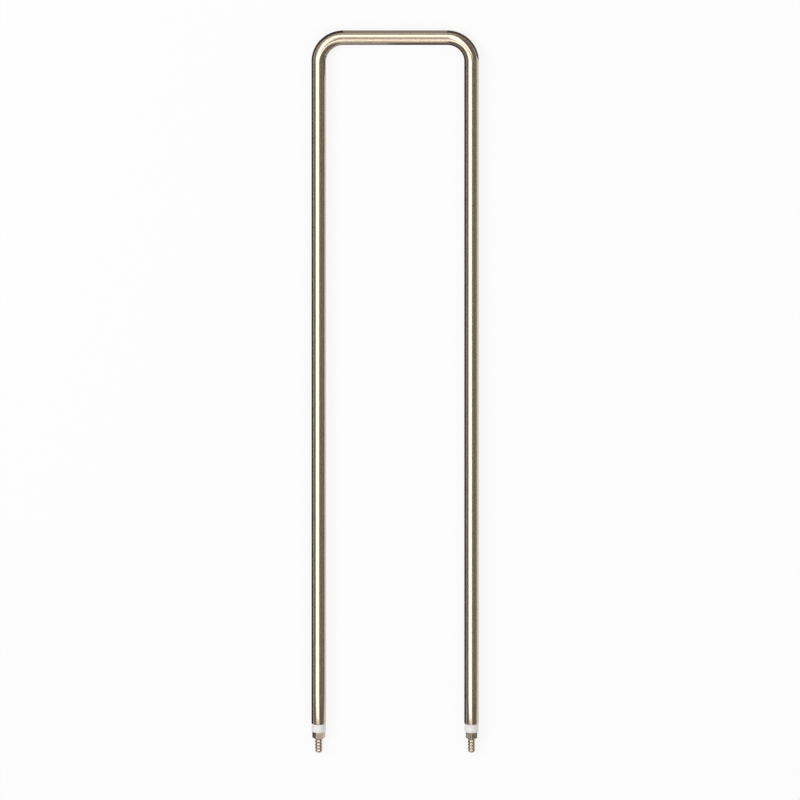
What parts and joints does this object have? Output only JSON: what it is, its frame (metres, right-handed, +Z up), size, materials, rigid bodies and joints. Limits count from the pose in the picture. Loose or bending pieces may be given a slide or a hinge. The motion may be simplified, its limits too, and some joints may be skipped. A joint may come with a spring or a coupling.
{
  "type": "tubular heating element",
  "caption": "U-shaped metal-sheathed tubular heating element with ceramic end beads and threaded terminal studs with hex nuts.",
  "frame": {"origin": "on the surface that the part lies on, under the middle of its bounding box", "axes": "+Y along the legs from the terminals to the bend, +X from the left leg to the right leg, +Z up"},
  "size_m": [0.115, 0.5208, 0.01],
  "materials": {
    "sheath_metal": "bright drawn tube with fine lengthwise grain",
    "magnesia": "pressed powder",
    "resistance_alloy": "drawn wire",
    "terminal_metal": "nickel-plated, rolled thread",
    "seal_rubber": "matte silicone",
    "bead_ceramic": "smooth unglazed white",
    "nut_metal": "nickel-plated"
  },
  "bodies": {
    "root": {"sheath": "sheath_metal", "magnesia_fill": "magnesia", "heating_coil": "resistance_alloy", "terminal_pin_left": "terminal_metal", "terminal_pin_right": "terminal_metal", "end_seal_left": "seal_rubber", "end_seal_right": "seal_rubber", "ceramic_bead_left": "bead_ceramic", "ceramic_bead_right": "bead_ceramic", "terminal_nut_left": "nut_metal", "terminal_nut_right": "nut_metal"}
  },
  "joints": []
}
